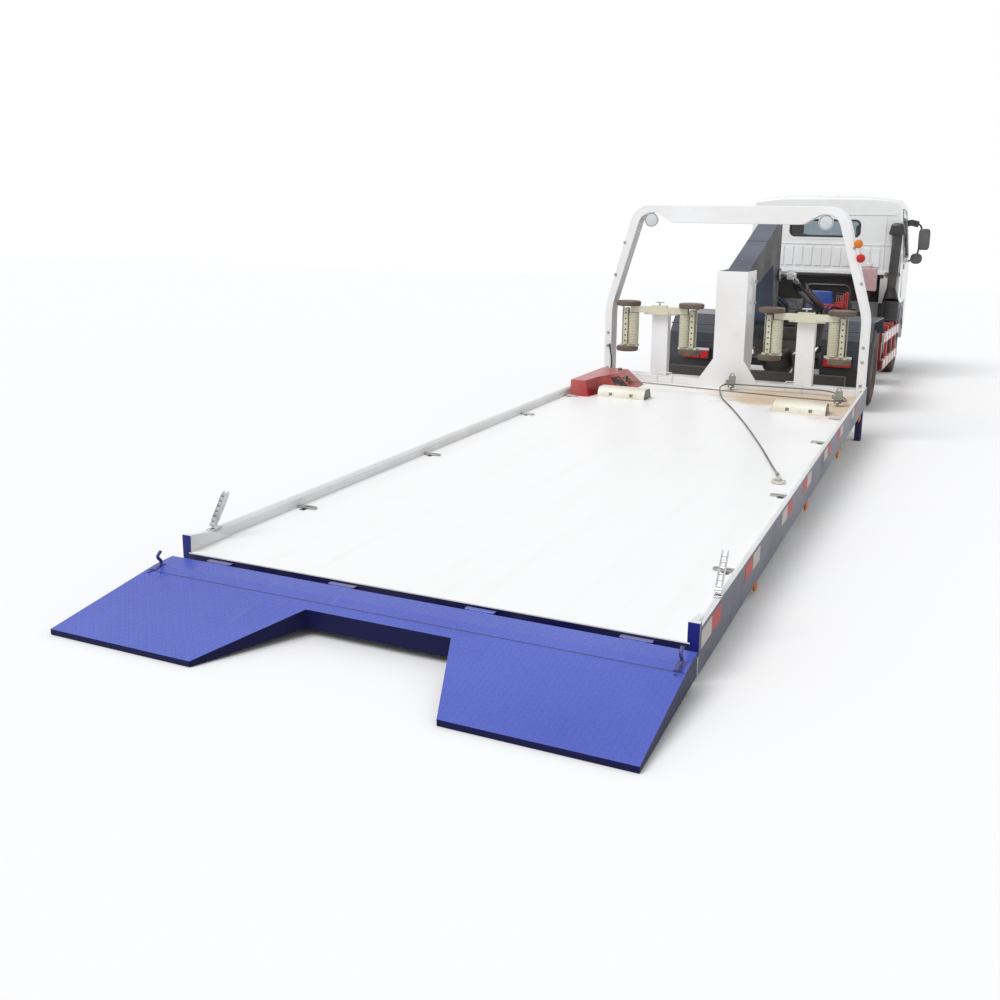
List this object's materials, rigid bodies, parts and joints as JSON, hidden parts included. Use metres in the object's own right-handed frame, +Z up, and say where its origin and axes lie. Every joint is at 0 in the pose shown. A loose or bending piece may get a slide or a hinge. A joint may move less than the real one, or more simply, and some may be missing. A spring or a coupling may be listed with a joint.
{
  "type": "tow truck",
  "caption": "Cab-over tow truck with its flat loading bed set down behind it: tail ramps on the ground, arched gantry, wheel dollies, winch box, slack rope and hook.",
  "frame": {"origin": "middle of the vehicle's length and width, on the ground", "axes": "+X to the truck's right, +Y towards the cab's nose, +Z up"},
  "size_m": [2.54, 13.4415, 2.4247],
  "materials": {
    "deck_white": "worn satin",
    "ramp_blue": "worn chequer plate",
    "beam_navy": "satin",
    "rail_white": "satin",
    "gantry_white": "gloss",
    "dolly_cream": "worn satin",
    "winch_red": "worn satin",
    "arm_slate": "satin",
    "chassis_black": "satin",
    "cylinder_black": "gloss",
    "rod_chrome": "polished",
    "fittings_steel": "worn",
    "rope_steel": "greased strands",
    "hook_brown": "worn",
    "rim_steel": "satin",
    "tyre_rubber": "dusty",
    "guard_slate": "satin",
    "lamp_red": "ribbed lens",
    "lamp_amber": "ribbed lens",
    "lamp_clear": "clear lens",
    "guard_stripes": "red and white bars",
    "tank_metal": "dusty",
    "box_black": "matt",
    "oil_tank_blue": "gloss",
    "silencer_steel": "heat stained",
    "bottle_pink": "translucent",
    "cab_white": "gloss",
    "window_glass": "tinted",
    "grille_grey": "matt",
    "seat_fabric": "woven",
    "dash_plastic": "matt",
    "mirror_black": "matt"
  },
  "bodies": {
    "chassis": {"chassis_frame": "chassis_black", "arm_pedestal": "chassis_black", "engine_block": "chassis_black", "front_axle": "chassis_black", "rear_axle": "chassis_black", "mudguards": "guard_slate", "tail_lamps": "lamp_red", "side_guards": "guard_stripes", "fuel_tank": "tank_metal", "battery_box": "box_black", "hydraulic_unit": "oil_tank_blue", "silencer": "silencer_steel", "air_cleaner": "box_black", "coolant_bottle": "bottle_pink"},
    "cab": {"cab_shell": "cab_white", "cab_glass": "window_glass", "grille": "grille_grey", "front_bumper": "cab_white", "front_lamps": "lamp_clear", "seats": "seat_fabric", "dashboard": "dash_plastic", "mirrors": "mirror_black", "snorkel": "mirror_black"},
    "door_left_leaf": {"door_left": "cab_white", "door_glass_left": "window_glass"},
    "door_right_leaf": {"door_right": "cab_white", "door_glass_right": "window_glass"},
    "steering_left": {"knuckle_left": "chassis_black"},
    "steering_right": {"knuckle_right": "chassis_black"},
    "front_wheel_left": {"front_tyre_left": "tyre_rubber", "front_rim_left": "rim_steel"},
    "front_wheel_right": {"front_tyre_right": "tyre_rubber", "front_rim_right": "rim_steel"},
    "rear_wheel_left": {"rear_tyres_left": "tyre_rubber", "rear_rims_left": "rim_steel"},
    "rear_wheel_right": {"rear_tyres_right": "tyre_rubber", "rear_rims_right": "rim_steel"},
    "arm": {"lift_arm": "arm_slate"},
    "barrels": {"cylinder_barrels": "cylinder_black"},
    "rods": {"cylinder_rods": "rod_chrome"},
    "bed": {"deck": "deck_white", "side_rails": "rail_white", "rear_beam": "beam_navy", "gantry": "gantry_white", "lift_column": "gantry_white", "dolly_left": "dolly_cream", "dolly_right": "dolly_cream", "winch_box": "winch_red", "wheel_stops": "dolly_cream", "deck_fittings": "fittings_steel", "support_legs": "beam_navy", "bed_lamps": "lamp_amber", "winch_rope": "rope_steel", "rope_hook": "hook_brown"},
    "ramp": {"tail_ramp": "ramp_blue"}
  },
  "joints": [
    {"name": "lift_arm_swing", "type": "hinge", "parent": "chassis", "child": "arm", "pos_m": [0, 0.92029, 0.92], "axis": [-1, 0, 0], "range_deg": [0, 40]},
    {"name": "bed_pivot", "type": "hinge", "parent": "arm", "child": "bed", "pos_m": [0, -0.45317, 1.29858], "axis": [1, 0, 0], "range_deg": [0, 48]},
    {"name": "barrel_swing", "type": "hinge", "parent": "chassis", "child": "barrels", "pos_m": [0, 3.27029, 0.935], "axis": [1, 0, 0], "range_deg": [0, 3]},
    {"name": "rod_slide", "type": "slide", "parent": "barrels", "child": "rods", "axis": [0, -0.9837, 0.1798], "range_m": [-0.29, 0]},
    {"name": "ramp_fold", "type": "hinge", "parent": "bed", "child": "ramp", "pos_m": [0, -6.06364, 0.1176], "axis": [-1, 0, 0], "range_deg": [0, 90]},
    {"name": "cab_tilt", "type": "hinge", "parent": "chassis", "child": "cab", "pos_m": [0, 6.42029, 0.64], "axis": [-1, 0, 0], "range_deg": [0, 45]},
    {"name": "door_right_hinge", "type": "hinge", "parent": "cab", "child": "door_right_leaf", "pos_m": [1.004, 6.27629, 1.5], "axis": [0, 0, 1], "range_deg": [0, 65]},
    {"name": "door_left_hinge", "type": "hinge", "parent": "cab", "child": "door_left_leaf", "pos_m": [-1.004, 6.27629, 1.5], "axis": [0, 0, -1], "range_deg": [0, 65]},
    {"name": "steer_left", "type": "hinge", "parent": "chassis", "child": "steering_left", "pos_m": [-0.765, 5.67029, 0.39], "axis": [0, 0, 1], "range_deg": [-30, 30]},
    {"name": "steer_right", "type": "hinge", "parent": "chassis", "child": "steering_right", "pos_m": [0.765, 5.67029, 0.39], "axis": [0, 0, 1], "range_deg": [-30, 30]},
    {"name": "front_wheel_left_roll", "type": "hinge", "parent": "steering_left", "child": "front_wheel_left", "pos_m": [-0.862, 5.67029, 0.4], "axis": [1, 0, 0], "continuous": true},
    {"name": "rear_wheel_left_roll", "type": "hinge", "parent": "chassis", "child": "rear_wheel_left", "pos_m": [-0.785, 1.87029, 0.4], "axis": [1, 0, 0], "continuous": true},
    {"name": "front_wheel_right_roll", "type": "hinge", "parent": "steering_right", "child": "front_wheel_right", "pos_m": [0.862, 5.67029, 0.4], "axis": [1, 0, 0], "continuous": true},
    {"name": "rear_wheel_right_roll", "type": "hinge", "parent": "chassis", "child": "rear_wheel_right", "pos_m": [0.785, 1.87029, 0.4], "axis": [1, 0, 0], "continuous": true}
  ],
  "couplings": [
    {"joint": "bed_pivot", "follows": "lift_arm_swing", "ratio": 1.18},
    {"joint": "barrel_swing", "follows": "lift_arm_swing", "ratio": 0.059},
    {"joint": "rod_slide", "follows": "lift_arm_swing", "m_per_rad": -0.405},
    {"joint": "steer_right", "follows": "steer_left", "ratio": 1}
  ]
}
